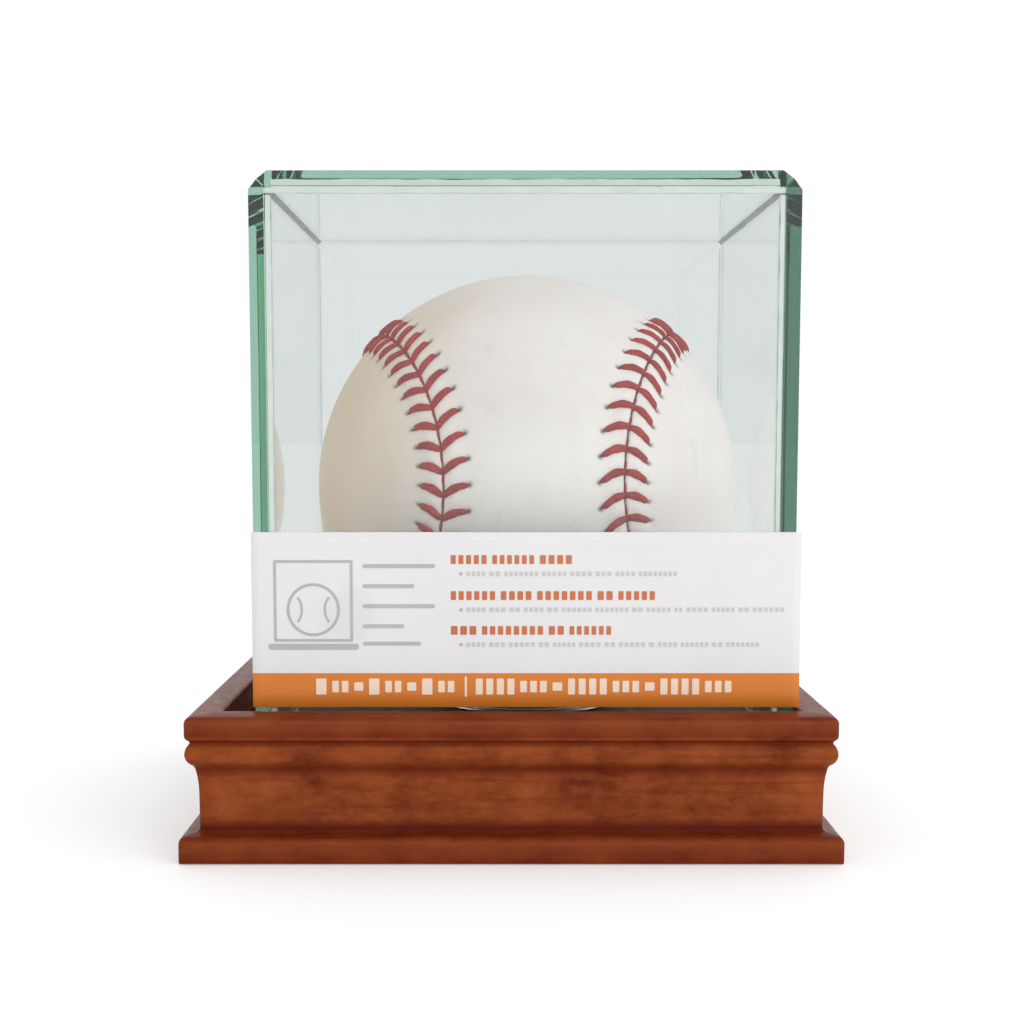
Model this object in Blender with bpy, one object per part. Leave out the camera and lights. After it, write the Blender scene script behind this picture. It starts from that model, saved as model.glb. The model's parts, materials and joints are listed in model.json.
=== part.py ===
"""A glass display case for one baseball: a mitred wooden base with a moulded profile, a five-pane
glass cover that lifts off, a card label glued to its front, and the ball on its ring.

Metres, +Z up. The origin is the centre of the base's underside and the front faces -Y.
"""

import math

import bmesh
import bpy
from mathutils import Euler, Matrix, Vector

MM = 0.001
LOOSE = 0.3 * MM  # between pieces that only rest on each other
GLUED = 0.1 * MM  # a glue line

# Base
PLINTH_HALF = 50.8 * MM
NECK_HALF = 47.9 * MM
RIM_HALF = 49.8 * MM
RECESS_HALF = 44.6 * MM
INNER_HALF = 38.0 * MM  # the mouldings below the recess
BASE_HEIGHT = 22.7 * MM
PLINTH_HEIGHT = 4.2 * MM
NECK_TOP = 14.4 * MM
QUIRK_HEIGHT = 18.55 * MM  # the groove between the two beads of the rim
BOARD_LEDGE = 12.2 * MM
BOARD_THICK = 3.8 * MM
LINER_THICK = 0.8 * MM
RABBET_HALF = 44.0 * MM  # the shallow step in the underside
RABBET_HEIGHT = 3.2 * MM
UNDERSIDE_FELT = 0.6 * MM
PANEL_THICK = 2.0 * MM
NAIL_LEG = 4.2 * MM
NAIL_THICK = 0.5 * MM
NAIL_HEIGHT = 6.0 * MM
NAIL_CORNER = 46.5 * MM  # each nail's point, on the mitre

# Glass cover
GLASS_HALF = 42.2 * MM
GLASS_THICK = 3.5 * MM
GLASS_BEVEL = 2.9 * MM
GLASS_TOP = 104.9 * MM
COVER_OFFSET = 2.1 * MM  # the cover stands at the right-hand end of its play in the recess
BEAD_LEG = 0.8 * MM

# Card label
LABEL_HALF = 42.3 * MM
LABEL_THICK = 0.35 * MM
LABEL_FOOT = BASE_HEIGHT + 0.25 * MM
LABEL_TOP = 50.1 * MM
LABEL_SHIFT = 0.2 * MM  # it overhangs the glass by a hair at the right

# Ball and ring
BALL_RADIUS = 36.4 * MM
BALL_AT = Vector((3.0, 1.0, 55.7)) * MM
LEATHER_THICK = 1.1 * MM
SEAM_SHARE = 0.3026  # how far the seam swings: the small circle's share of the radius
SEAM_GAP = 1.5 * MM
THREAD_DIAMETER = 0.7 * MM
BALL_TURN = Euler((math.radians(-93.5), math.radians(44.5), math.radians(-1.3)))
RING_OUTER = 15.5 * MM
RING_INNER = 11.0 * MM

FLOOR = BOARD_LEDGE + LOOSE + BOARD_THICK + LOOSE + LINER_THICK
PANE_FOOT = FLOOR + LOOSE


def clear_scene():
    for obj in list(bpy.data.objects):
        bpy.data.objects.remove(obj, do_unlink=True)


def material(name, colour, roughness, metallic=0.0, transmission=0.0):
    mat = bpy.data.materials.new(name)
    mat.use_nodes = True
    shader = mat.node_tree.nodes["Principled BSDF"]
    shader.inputs["Base Color"].default_value = (*colour, 1.0)
    shader.inputs["Roughness"].default_value = roughness
    shader.inputs["Metallic"].default_value = metallic
    shader.inputs["Transmission Weight"].default_value = transmission
    mat.diffuse_color = (*colour, 1.0)
    return mat


def empty(name, location):
    obj = bpy.data.objects.new(name, None)
    obj.location = location
    bpy.context.scene.collection.objects.link(obj)
    return obj


def add_object(name, data, mat, parent, location=(0.0, 0.0, 0.0)):
    data.materials.append(mat)
    obj = bpy.data.objects.new(name, data)
    obj.location = location
    obj.parent = parent
    bpy.context.scene.collection.objects.link(obj)
    return obj


def finished_mesh(name, bm, smooth_angle=None):
    """The mesh with its faces turned outwards, and the bmesh freed."""
    bmesh.ops.recalc_face_normals(bm, faces=bm.faces)
    mesh = bpy.data.meshes.new(name)
    bm.to_mesh(mesh)
    bm.free()
    if smooth_angle is not None:
        mesh.shade_smooth()
        mesh.set_sharp_from_angle(angle=math.radians(smooth_angle))
    return mesh


def box_bmesh(low, high):
    bm = bmesh.new()
    bmesh.ops.create_cube(bm, size=1.0)
    low, high = Vector(low), Vector(high)
    for vert in bm.verts:
        vert.co = Vector(l + (h - l) * (c + 0.5) for l, h, c in zip(low, high, vert.co))
    return bm


def clip(bm, point, outward):
    """Cuts a convex bmesh along a plane, drops what lies on the outward side and closes the cut."""
    geometry = bm.verts[:] + bm.edges[:] + bm.faces[:]
    cut = bmesh.ops.bisect_plane(
        bm, geom=geometry, plane_co=point, plane_no=outward, clear_outer=True
    )
    edges = [e for e in cut["geom_cut"] if isinstance(e, bmesh.types.BMEdge)]
    bmesh.ops.contextual_create(bm, geom=edges)


def outline_prism(points, bottom, top):
    """A straight prism over a closed outline of (x, y) points."""
    bm = bmesh.new()
    face = bm.faces.new([bm.verts.new((x, y, bottom)) for x, y in points])
    grown = bmesh.ops.extrude_face_region(bm, geom=[face])["geom"]
    for vert in (g for g in grown if isinstance(g, bmesh.types.BMVert)):
        vert.co.z = top
    return bm


def arc(centre, radius, start, end, steps):
    """Points on an arc, angles in degrees."""
    angles = (math.radians(start + (end - start) * i / steps) for i in range(steps + 1))
    return [
        (centre[0] + radius * math.cos(a), centre[1] + radius * math.sin(a)) for a in angles
    ]


def square_outline(half, corner, steps=4):
    """A square with round corners, anticlockwise."""
    points = []
    for quarter, (sx, sy) in enumerate(((1, 1), (-1, 1), (-1, -1), (1, -1))):
        centre = (sx * (half - corner), sy * (half - corner))
        points += arc(centre, corner, 90 * quarter, 90 * quarter + 90, steps)
    return points


# ---------------------------------------------------------------- base


def moulding_profile():
    """The moulding's section as (distance from the base's centre, height), anticlockwise."""
    arris = 1.1 * MM
    shoulder = 1.2 * MM
    cove = 0.8 * MM
    foot = 0.4 * MM
    points = [(RABBET_HALF, 0.0), (PLINTH_HALF - foot, 0.0), (PLINTH_HALF, foot)]
    # the plinth's rounded shoulder, then the cove up to the neck
    points += arc((PLINTH_HALF - shoulder, PLINTH_HEIGHT - shoulder), shoulder, 0, 80, 5)
    points += arc((NECK_HALF + cove, PLINTH_HEIGHT + 0.2 * MM + cove), cove, 270, 180, 4)
    # the neck is a shallow hollow that ends in a step under the lower bead
    points += [(NECK_HALF + 0.05 * MM, 11.5 * MM), (NECK_HALF + 0.55 * MM, NECK_TOP)]
    bead = 2.1 * MM
    bead_at = (RIM_HALF - bead, QUIRK_HEIGHT - 1.9 * MM)
    points += arc(bead_at, bead, -62, 48, 7)
    # the upper bead and the rim's crowned top
    points.append((RIM_HALF - 0.65 * MM, QUIRK_HEIGHT))
    points += arc((RIM_HALF - 1.0 * MM, QUIRK_HEIGHT + 1.0 * MM), 1.0 * MM, -50, 0, 3)
    points += arc((RIM_HALF - arris, BASE_HEIGHT - 0.25 * MM - arris), arris, 0, 85, 5)
    points.append((RECESS_HALF + 0.5 * MM, BASE_HEIGHT))
    points.append((RECESS_HALF, BASE_HEIGHT - 0.4 * MM))
    # the inside: recess wall, the board's ledge and the rabbet of the underside
    points.append((RECESS_HALF, BOARD_LEDGE))
    points.append((INNER_HALF, BOARD_LEDGE))
    points.append((INNER_HALF, RABBET_HEIGHT))
    points.append((RABBET_HALF, RABBET_HEIGHT))
    return points


def moulding_mesh(name):
    """One side of the frame along X, facing -Y, with both ends cut to a 45 degree mitre."""
    bm = bmesh.new()
    profile = moulding_profile()
    rings = []
    for side in (-1, 1):
        rings.append([bm.verts.new((side * (u - GLUED / 2), -u, z)) for u, z in profile])
    bm.faces.new(rings[0])
    bm.faces.new(reversed(rings[1]))
    for i in range(len(profile)):
        j = (i + 1) % len(profile)
        bm.faces.new((rings[0][i], rings[1][i], rings[1][j], rings[0][j]))
    return finished_mesh(name, bm, 32)


def nail_bmesh(thick, bottom, top, leg):
    """A V of sheet steel, its point at the origin and its legs running 22.5 degrees off -X and -Y."""
    half = thick / 2
    spread = math.radians(22.5)
    directions = (
        Vector((-math.cos(spread), -math.sin(spread), 0)),
        Vector((-math.sin(spread), -math.cos(spread), 0)),
    )
    inside = (directions[0] + directions[1]).normalized()
    turn = math.acos(directions[0].dot(directions[1])) / 2
    point = inside * (half / math.sin(turn))
    outer = [-point]
    inner = [point]
    for along in directions:
        across = Vector((-along.y, along.x, 0))
        if across.dot(inside) < 0:
            across = -across
        outer.append(along * leg - across * half)
        inner.append(along * leg + across * half)
    outline = [outer[1], outer[0], outer[2], inner[2], inner[0], inner[1]]
    return outline_prism([(p.x, p.y) for p in outline], bottom, top)


def make_base(parent, stain, board, felt, steel):
    corners = {
        "front_right": (1, -1, 270),
        "back_right": (1, 1, 0),
        "back_left": (-1, 1, 90),
        "front_left": (-1, -1, 180),
    }
    cutters = {}
    for place, (sx, sy, turn) in corners.items():
        at = Vector((sx * NAIL_CORNER, sy * NAIL_CORNER, 0))
        spin = Matrix.Rotation(math.radians(turn), 4, "Z")
        nail = nail_bmesh(NAIL_THICK, LOOSE, LOOSE + NAIL_HEIGHT, NAIL_LEG)
        nail.transform(spin)
        add_object(f"v_nail_{place}", finished_mesh(f"v_nail_{place}", nail), steel, parent, at)
        slot = nail_bmesh(
            NAIL_THICK + 2 * GLUED, -MM, 2 * LOOSE + NAIL_HEIGHT, NAIL_LEG + GLUED
        )
        slot.transform(spin)
        cutter = add_object(
            f"nail_slot_{place}", finished_mesh(f"nail_slot_{place}", slot), steel, parent, at
        )
        cutter.hide_render = True
        cutter.display_type = "WIRE"
        cutters[place] = cutter

    for side, turn in (("front", 0), ("right", 90), ("back", 180), ("left", 270)):
        name = f"{side}_moulding"
        obj = add_object(name, moulding_mesh(name), stain, parent)
        obj.rotation_euler.z = math.radians(turn)
        for place in corners:
            if side in place:
                cut = obj.modifiers.new(f"slot_{place}", "BOOLEAN")
                cut.operation = "DIFFERENCE"
                cut.object = cutters[place]

    def sheet(name, half, bottom, thick, mat):
        bm = box_bmesh((-half, -half, bottom), (half, half, bottom + thick))
        add_object(name, finished_mesh(name, bm), mat, parent)

    board_foot = BOARD_LEDGE + LOOSE
    sheet("base_board", RECESS_HALF - LOOSE, board_foot, BOARD_THICK, board)
    liner_foot = board_foot + BOARD_THICK + LOOSE
    sheet("floor_liner", RECESS_HALF - LOOSE, liner_foot, LINER_THICK, felt)
    sheet("underside_felt", RABBET_HALF - LOOSE, 0.0, UNDERSIDE_FELT, felt)
    sheet("bottom_panel", RABBET_HALF - LOOSE, UNDERSIDE_FELT + LOOSE, PANEL_THICK, board)


# ---------------------------------------------------------------- glass cover


def side_pane_mesh(name):
    """The pane that faces -Y: its sides and top are mitred and their outer edges bevelled."""
    top = GLASS_TOP - PANE_FOOT
    bm = box_bmesh(
        (-GLASS_HALF, -GLASS_HALF, 0.0), (GLASS_HALF, -GLASS_HALF + GLASS_THICK, top)
    )
    half_glue = Vector((GLUED / 2, 0, 0))
    for side in (-1, 1):
        corner = Vector((side * GLASS_HALF, -GLASS_HALF, 0))
        clip(bm, corner - side * half_glue, Vector((side, 1, 0)).normalized())
        clip(bm, corner - side * Vector((GLASS_BEVEL, 0, 0)), Vector((side, -1, 0)).normalized())
    edge = Vector((0, -GLASS_HALF, top))
    clip(bm, edge - Vector((0, 0, GLUED / 2)), Vector((0, 1, 1)).normalized())
    clip(bm, edge - Vector((0, 0, GLASS_BEVEL)), Vector((0, -1, 1)).normalized())
    return finished_mesh(name, bm)


def top_pane_mesh(name):
    top = GLASS_TOP - PANE_FOOT
    bm = box_bmesh(
        (-GLASS_HALF, -GLASS_HALF, top - GLASS_THICK), (GLASS_HALF, GLASS_HALF, top)
    )
    for outward in (Vector((1, 0, 0)), Vector((-1, 0, 0)), Vector((0, 1, 0)), Vector((0, -1, 0))):
        edge = outward * GLASS_HALF + Vector((0, 0, top))
        clip(bm, edge - outward * GLUED / 2, (outward - Vector((0, 0, 1))).normalized())
        clip(bm, edge - outward * GLASS_BEVEL, (outward + Vector((0, 0, 1))).normalized())
    return finished_mesh(name, bm)


def bead_mesh(name, length):
    """A triangular bead of adhesive along +X, its square corner at the origin, filling +Y and -Z."""
    bm = bmesh.new()
    section = ((0.0, 0.0), (BEAD_LEG, 0.0), (0.0, -BEAD_LEG))
    face = bm.faces.new([bm.verts.new((-length / 2, y, z)) for y, z in section])
    grown = bmesh.ops.extrude_face_region(bm, geom=[face])["geom"]
    for vert in (g for g in grown if isinstance(g, bmesh.types.BMVert)):
        vert.co.x = length / 2
    return finished_mesh(name, bm)


def make_cover(parent, glass, adhesive):
    sides = (("front", 0), ("right", 90), ("back", 180), ("left", 270))
    for side, turn in sides:
        name = f"{side}_pane"
        pane = add_object(name, side_pane_mesh(name), glass, parent)
        pane.rotation_euler.z = math.radians(turn)
    add_object("top_pane", top_pane_mesh("top_pane"), glass, parent)

    # A bead runs in each inner corner: four under the top pane and four upright.
    inner = GLASS_HALF - GLASS_THICK - GLUED
    ceiling = GLASS_TOP - PANE_FOOT - GLASS_THICK - GLUED
    long_bead, short_bead = 2 * inner - GLUED, 2 * (inner - BEAD_LEG - GLUED)
    for side, turn in sides:
        name = f"top_bead_{side}"
        length = long_bead if side in ("left", "right") else short_bead
        bead = add_object(name, bead_mesh(name, length), adhesive, parent)
        spin = Matrix.Rotation(math.radians(turn), 4, "Z")
        bead.matrix_local = spin @ Matrix.Translation((0, -inner, ceiling))
    upright = ceiling - BEAD_LEG - 2 * GLUED
    corners = (("front_left", 0), ("front_right", 90), ("back_right", 180), ("back_left", 270))
    for place, turn in corners:
        name = f"corner_bead_{place}"
        bead = add_object(name, bead_mesh(name, upright), adhesive, parent)
        spin = Matrix.Rotation(math.radians(turn), 4, "Z")
        # upright: the bead's length turns to +Z and its section fills +X and +Y
        stand = Matrix(((0, 0, -1, 0), (0, 1, 0, 0), (1, 0, 0, 0), (0, 0, 0, 1)))
        bead.matrix_local = spin @ Matrix.Translation((-inner, -inner, upright / 2)) @ stand


# ---------------------------------------------------------------- label


def make_label(parent, card):
    """A flat strip of card glued across the lower half of the front pane."""
    back = -GLASS_HALF - GLUED
    bm = box_bmesh(
        (LABEL_SHIFT - LABEL_HALF, back - LABEL_THICK, LABEL_FOOT - PANE_FOOT),
        (LABEL_SHIFT + LABEL_HALF, back, LABEL_TOP - PANE_FOOT),
    )
    add_object("label_card", finished_mesh("label_card", bm), card, parent)


# ---------------------------------------------------------------- ball


def seam_point(t):
    """The seam on a unit sphere: a point running round a large circle while a small one swings it."""
    small = SEAM_SHARE
    large = 1 - small
    return Vector(
        (
            large * math.cos(t) + small * math.cos(3 * t),
            large * math.sin(t) - small * math.sin(3 * t),
            2 * math.sqrt(large * small) * math.sin(2 * t),
        )
    )


def panel_edge_point(t):
    """The seam point at t moved half the seam's gap into the panel that holds the +Z pole."""
    at, step = seam_point(t), 0.001
    along = (seam_point(t + step) - seam_point(t - step)).normalized()
    inset = SEAM_GAP / 2 / BALL_RADIUS
    return at * math.cos(inset) + at.cross(along) * math.sin(inset)


def panel_mesh(name, flip):
    """One of the two figure-eight pieces of leather, as a shell between the core and the surface.

    Its rows run across the panel, from a point of its edge to that point's mirror image.
    """
    rows, columns = 40, 10
    outer, inner = BALL_RADIUS, BALL_RADIUS - LEATHER_THICK
    end_trim = math.radians(3)
    bm = bmesh.new()
    shells = ([], [])
    for r in range(rows + 1):
        a = panel_edge_point(-math.pi / 4 + end_trim + (math.pi - 2 * end_trim) * r / rows)
        b = Vector((-a.y, -a.x, a.z))
        for shell, radius in zip(shells, (outer, inner)):
            shell.append(
                [bm.verts.new(a.slerp(b, c / columns) * radius) for c in range(columns + 1)]
            )
    for shell in shells:
        for r in range(rows):
            for c in range(columns):
                bm.faces.new(
                    (shell[r][c], shell[r + 1][c], shell[r + 1][c + 1], shell[r][c + 1])
                )
    rims = []
    for shell in shells:
        rim = shell[0][:-1] + [line[-1] for line in shell[:-1]]
        rim += shell[-1][:0:-1] + [line[0] for line in reversed(shell[1:])]
        rims.append(rim)
    for i in range(len(rims[0])):
        j = (i + 1) % len(rims[0])
        bm.faces.new((rims[0][i], rims[0][j], rims[1][j], rims[1][i]))
    turn = BALL_TURN.to_matrix().to_4x4()
    if flip:
        # The second panel is the first one turned over about X, which maps the seam onto itself.
        turn = turn @ Matrix.Rotation(math.pi, 4, "X")
    bm.transform(turn)
    return finished_mesh(name, bm, 40)


def make_ball(parent, leather, yarn, thread):
    core = bmesh.new()
    bmesh.ops.create_uvsphere(
        core, u_segments=28, v_segments=14, radius=BALL_RADIUS - LEATHER_THICK - LOOSE
    )
    add_object("ball_core", finished_mesh("ball_core", core, 40), yarn, parent)
    for name, flip in (("ball_panel_a", False), ("ball_panel_b", True)):
        add_object(name, panel_mesh(name, flip), leather, parent)

    points = 110
    radius = BALL_RADIUS - LEATHER_THICK + THREAD_DIAMETER / 2 + GLUED
    curve = bpy.data.curves.new("seam_thread", "CURVE")
    curve.dimensions = "3D"
    curve.bevel_depth = THREAD_DIAMETER / 2
    curve.bevel_resolution = 1
    spline = curve.splines.new("POLY")
    spline.points.add(points - 1)
    spline.use_cyclic_u = True
    turn = BALL_TURN.to_matrix()
    for i, point in enumerate(spline.points):
        point.co = (*(turn @ seam_point(2 * math.pi * i / points) * radius), 1.0)
    add_object("seam_thread", curve, thread, parent)


def make_ring(parent, plastic):
    """The loose ring that keeps the ball from rolling: its inner edge is coned to the ball."""
    foot, steps = PANE_FOOT, 40

    def under_ball(r):
        return BALL_AT.z - math.sqrt(BALL_RADIUS**2 - r**2) - 1.1 * LOOSE

    seat = 12.6 * MM
    top = under_ball(seat)
    edge = 0.6 * MM
    profile = [
        (RING_OUTER, foot),
        (RING_OUTER, top - edge),
        (RING_OUTER - edge, top),
        (seat, top),
        (RING_INNER, under_ball(RING_INNER)),
        (RING_INNER, foot),
    ]
    bm = bmesh.new()
    loop = [bm.verts.new((r, 0, z)) for r, z in profile]
    edges = [bm.edges.new((loop[i - 1], loop[i])) for i in range(len(loop))]
    bmesh.ops.spin(
        bm, geom=loop + edges, cent=(0, 0, 0), axis=(0, 0, 1), angle=2 * math.pi, steps=steps
    )
    bmesh.ops.remove_doubles(bm, verts=bm.verts, dist=0.001 * MM)
    mesh = finished_mesh("ball_ring", bm, 40)
    add_object("ball_ring", mesh, plastic, parent, (BALL_AT.x, BALL_AT.y, 0.0))


def main():
    clear_scene()
    stain = material("stained_wood", (0.20, 0.055, 0.022), 0.35)
    board = material("fibreboard", (0.30, 0.20, 0.12), 0.85)
    felt = material("black_felt", (0.02, 0.02, 0.022), 0.95)
    steel = material("nail_steel", (0.55, 0.55, 0.57), 0.4, metallic=1.0)
    glass = material("float_glass", (0.80, 0.93, 0.87), 0.02, transmission=1.0)
    adhesive = material("clear_adhesive", (0.62, 0.67, 0.65), 0.3)
    card = material("printed_card", (0.82, 0.82, 0.84), 0.45)
    leather = material("ball_leather", (0.75, 0.68, 0.60), 0.5)
    yarn = material("wound_yarn", (0.55, 0.52, 0.47), 0.9)
    thread = material("red_thread", (0.42, 0.06, 0.06), 0.7)
    plastic = material("clear_plastic", (0.88, 0.90, 0.90), 0.1, transmission=1.0)

    base = empty("base_frame", (0, 0, 0))
    cover = empty("cover_frame", (COVER_OFFSET, 0, PANE_FOOT))
    ball = empty("ball_frame", BALL_AT)
    make_base(base, stain, board, felt, steel)
    make_ring(base, plastic)
    make_cover(cover, glass, adhesive)
    make_label(cover, card)
    make_ball(ball, leather, yarn, thread)


main()
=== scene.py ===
"""The looks of the glass baseball case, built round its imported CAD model.

Metres, +Z up, the front facing -Y. The case has lacquered mouldings, one clear glass cover with
polished bevels and adhesive fillets, a printed card label, felts, and a leather ball whose two
panels are drawn together by 108 double stitches.
"""

import json
import math

import bmesh
import bpy
from mathutils import Euler, Matrix, Vector, noise


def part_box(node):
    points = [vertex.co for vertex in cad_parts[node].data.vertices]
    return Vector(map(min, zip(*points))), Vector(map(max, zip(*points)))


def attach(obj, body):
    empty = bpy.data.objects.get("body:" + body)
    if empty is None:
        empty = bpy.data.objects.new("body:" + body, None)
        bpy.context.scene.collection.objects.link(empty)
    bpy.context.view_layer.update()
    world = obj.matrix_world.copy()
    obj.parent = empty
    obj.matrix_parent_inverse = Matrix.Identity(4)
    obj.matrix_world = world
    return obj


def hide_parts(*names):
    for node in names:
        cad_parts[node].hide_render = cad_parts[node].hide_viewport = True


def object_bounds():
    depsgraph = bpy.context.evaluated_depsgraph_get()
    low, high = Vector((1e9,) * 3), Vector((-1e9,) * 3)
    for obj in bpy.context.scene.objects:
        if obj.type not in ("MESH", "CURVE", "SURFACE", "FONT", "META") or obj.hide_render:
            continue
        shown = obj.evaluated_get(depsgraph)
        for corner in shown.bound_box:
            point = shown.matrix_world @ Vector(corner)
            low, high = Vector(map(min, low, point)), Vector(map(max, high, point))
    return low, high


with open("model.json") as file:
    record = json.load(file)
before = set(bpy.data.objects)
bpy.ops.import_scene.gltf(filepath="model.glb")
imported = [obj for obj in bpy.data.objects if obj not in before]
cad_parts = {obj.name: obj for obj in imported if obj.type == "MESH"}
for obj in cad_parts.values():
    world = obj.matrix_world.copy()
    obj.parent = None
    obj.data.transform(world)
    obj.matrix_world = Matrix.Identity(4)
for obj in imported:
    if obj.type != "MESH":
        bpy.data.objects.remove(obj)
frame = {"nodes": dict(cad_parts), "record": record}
CAD_BOUNDS = [list(corner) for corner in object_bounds()]

MM = 0.001
SIDES = (("front", 0), ("right", 90), ("back", 180), ("left", 270))


# ---- meshes


def smoothstep(low, high, x):
    share = min(max((x - low) / (high - low), 0.0), 1.0)
    return share * share * (3 - 2 * share)


def hump(x, width):
    """A smooth peak of 1 where x is 0, about a third at width."""
    return math.exp(-((x / width) ** 2))


def arc(centre, radius, start, end, steps):
    """Points on an arc, angles in degrees."""
    angles = (math.radians(start + (end - start) * i / steps) for i in range(steps + 1))
    return [
        (centre[0] + radius * math.cos(a), centre[1] + radius * math.sin(a)) for a in angles
    ]


def wander(point, pitch, size):
    """A smooth uneven offset, of about size, that changes over pitch."""
    return noise.noise(Vector(point) / pitch) * size


def placed(name, data):
    """A new object in the scene: a camera, a light, or a bmesh, which is used up."""
    if isinstance(data, bmesh.types.BMesh):
        mesh = bpy.data.meshes.new(name)
        data.to_mesh(mesh)
        data.free()
        data = mesh
    obj = bpy.data.objects.new(name, data)
    bpy.context.scene.collection.objects.link(obj)
    return obj


def finished(name, bm, mats, body, replaced=(), sharp=35):
    """Turns a bmesh in the row frame into a shown piece on a body."""
    bmesh.ops.recalc_face_normals(bm, faces=bm.faces)
    obj = placed(name, bm)
    for mat in mats:
        obj.data.materials.append(mat)
    obj.data.shade_smooth()
    obj.data.set_sharp_from_angle(angle=math.radians(sharp))
    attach(obj, body)
    if replaced:
        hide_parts(*replaced)
    return obj


def apply_modifiers(obj):
    bpy.context.view_layer.update()
    graph = bpy.context.evaluated_depsgraph_get()
    mesh = bpy.data.meshes.new_from_object(
        obj.evaluated_get(graph), preserve_all_data_layers=True, depsgraph=graph
    )
    obj.modifiers.clear()
    obj.data = mesh


def span(*nodes):
    """The lowest and highest corners of several CAD nodes together."""
    boxes = [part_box(node) for node in nodes]
    low = Vector(min(box[0][axis] for box in boxes) for axis in range(3))
    high = Vector(max(box[1][axis] for box in boxes) for axis in range(3))
    return low, high


def grid_faces(bm, rows, closed_rows=False, closed_columns=False, mat=0):
    """Quads between neighbouring points of neighbouring rows."""
    count = len(rows)
    for r in range(count if closed_rows else count - 1):
        a, b = rows[r], rows[(r + 1) % count]
        width = len(a)
        for c in range(width if closed_columns else width - 1):
            d = (c + 1) % width
            bm.faces.new((a[c], a[d], b[d], b[c])).material_index = mat


def tube(bm, rings, mat=0):
    """A closed form through rings of points, with a flat cap at each end."""
    grid_faces(bm, rings, closed_columns=True, mat=mat)
    for cap in (rings[0], reversed(rings[-1])):
        bm.faces.new(cap).material_index = mat


def sheet_between(bm, front, back):
    """A closed sheet: two grids of points, and the edge that joins them."""
    rims = []
    for rows in (front, back):
        grid_faces(bm, rows)
        rim = rows[0][:-1] + [row[-1] for row in rows[:-1]]
        rims.append(rim + rows[-1][:0:-1] + [row[0] for row in reversed(rows[1:])])
    grid_faces(bm, rims, closed_columns=True)


# ---- materials


class Nodes:
    """Short ways to add nodes to a tree."""

    def __init__(self, tree):
        self.tree = tree

    def fill(self, socket, value):
        """Links an input to the output that is its value, or sets it to a plain value."""
        if isinstance(value, bpy.types.NodeSocket):
            self.tree.links.new(value, socket)
        else:
            socket.default_value = value

    def node(self, kind, inputs=(), **settings):
        made = self.tree.nodes.new(kind)
        for name, value in settings.items():
            setattr(made, name, value)
        for key, value in dict(inputs).items():
            self.fill(made.inputs[key], value)
        return made

    def math(self, operation, a, b):
        made = self.node("ShaderNodeMath", {0: a, 1: b}, operation=operation)
        return made.outputs["Value"]

    def measure(self, operation, a, b):
        """A number that comes from two vectors."""
        made = self.node("ShaderNodeVectorMath", {0: a, 1: b}, operation=operation)
        return made.outputs["Value"]

    def range(self, value, low, high, to_low=0.0, to_high=1.0, kind="LINEAR"):
        inputs = {"Value": value, "From Min": low, "From Max": high}
        inputs |= {"To Min": to_low, "To Max": to_high}
        made = self.node("ShaderNodeMapRange", inputs, interpolation_type=kind)
        return made.outputs["Result"]


class Look(Nodes):
    """A material with a Principled BSDF, and the nodes that drive it."""

    def __init__(self, name, roughness=0.5, **sockets):
        self.material = bpy.data.materials.new(name)
        self.material.use_nodes = True
        super().__init__(self.material.node_tree)
        self.shader = self.tree.nodes["Principled BSDF"]
        self.output = self.tree.nodes["Material Output"]
        self.set("Roughness", roughness)
        for socket, value in sockets.items():
            self.set(socket.replace("_", " "), value)
        self.place = self.node("ShaderNodeTexCoord").outputs["Object"]

    def set(self, socket, value):
        self.fill(self.shader.inputs[socket], value)

    def paint(self, colour):
        self.set("Base Color", colour)

    def attribute(self, name, output="Fac"):
        return self.node("ShaderNodeAttribute", attribute_name=name).outputs[output]

    def stretched(self, scale, vector=None):
        inputs = {"Vector": vector or self.place, "Scale": scale}
        return self.node("ShaderNodeMapping", inputs).outputs["Vector"]

    def noise(self, scale, detail=4.0, roughness=0.55, vector=None, distortion=0.0):
        inputs = {"Vector": vector or self.place, "Scale": scale, "Detail": detail}
        inputs |= {"Roughness": roughness, "Distortion": distortion}
        return self.node("ShaderNodeTexNoise", inputs).outputs["Fac"]

    def cells(self, scale, vector=None, feature="F1"):
        inputs = {"Vector": vector or self.place, "Scale": scale}
        made = self.node("ShaderNodeTexVoronoi", inputs, feature=feature)
        return made.outputs["Distance"]

    def ramp(self, value, *stops):
        """A colour ramp through (position, colour or grey) stops."""
        made = self.node("ShaderNodeValToRGB", {"Fac": value})
        elements = made.color_ramp.elements
        while len(elements) < len(stops):
            elements.new(0.5)
        for element, (position, colour) in zip(elements, stops):
            element.position = position
            rgb = (colour,) * 3 if isinstance(colour, float) else colour
            element.color = (*rgb, 1.0)
        return made.outputs["Color"]

    def mix(self, share, a, b):
        """Colour a turned to colour b by share."""
        inputs = {0: share, 6: a if isinstance(a, bpy.types.NodeSocket) else (*a, 1.0)}
        made = self.node("ShaderNodeMix", inputs | {7: (*b, 1.0)}, data_type="RGBA")
        return made.outputs[2]

    def bump(self, height, distance, strength=1.0):
        """Adds a layer of relief, of distance in mm, on top of those added before."""
        inputs = {"Height": height, "Distance": distance * MM, "Strength": strength}
        before = self.shader.inputs["Normal"]
        if before.is_linked:
            inputs["Normal"] = before.links[0].from_socket
        self.set("Normal", self.node("ShaderNodeBump", inputs).outputs["Normal"])


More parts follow.
